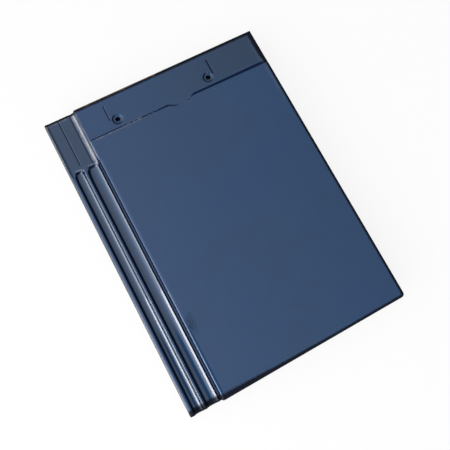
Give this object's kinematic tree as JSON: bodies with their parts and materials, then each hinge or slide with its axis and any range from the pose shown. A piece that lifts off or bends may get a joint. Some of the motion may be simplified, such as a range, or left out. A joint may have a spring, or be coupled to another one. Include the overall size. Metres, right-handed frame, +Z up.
{
  "type": "flat roof tile",
  "caption": "Flat interlocking roof tile in blue-glazed fired clay, with a channelled lock strip, a head recess, nail holes, and hanging nibs on the underside.",
  "frame": {"origin": "middle of the tile's outline, on the floor plane under its tail nose and nibs", "axes": "+X from the lock strip to the overlap edge, +Y up the roof slope to the head, +Z up out of the weather face"},
  "size_m": [0.3, 0.4, 0.0265],
  "materials": {
    "glazed_clay": "gloss steel-blue glaze on a brown clay body"
  },
  "bodies": {
    "root": {"roof_tile": "glazed_clay"}
  },
  "joints": []
}
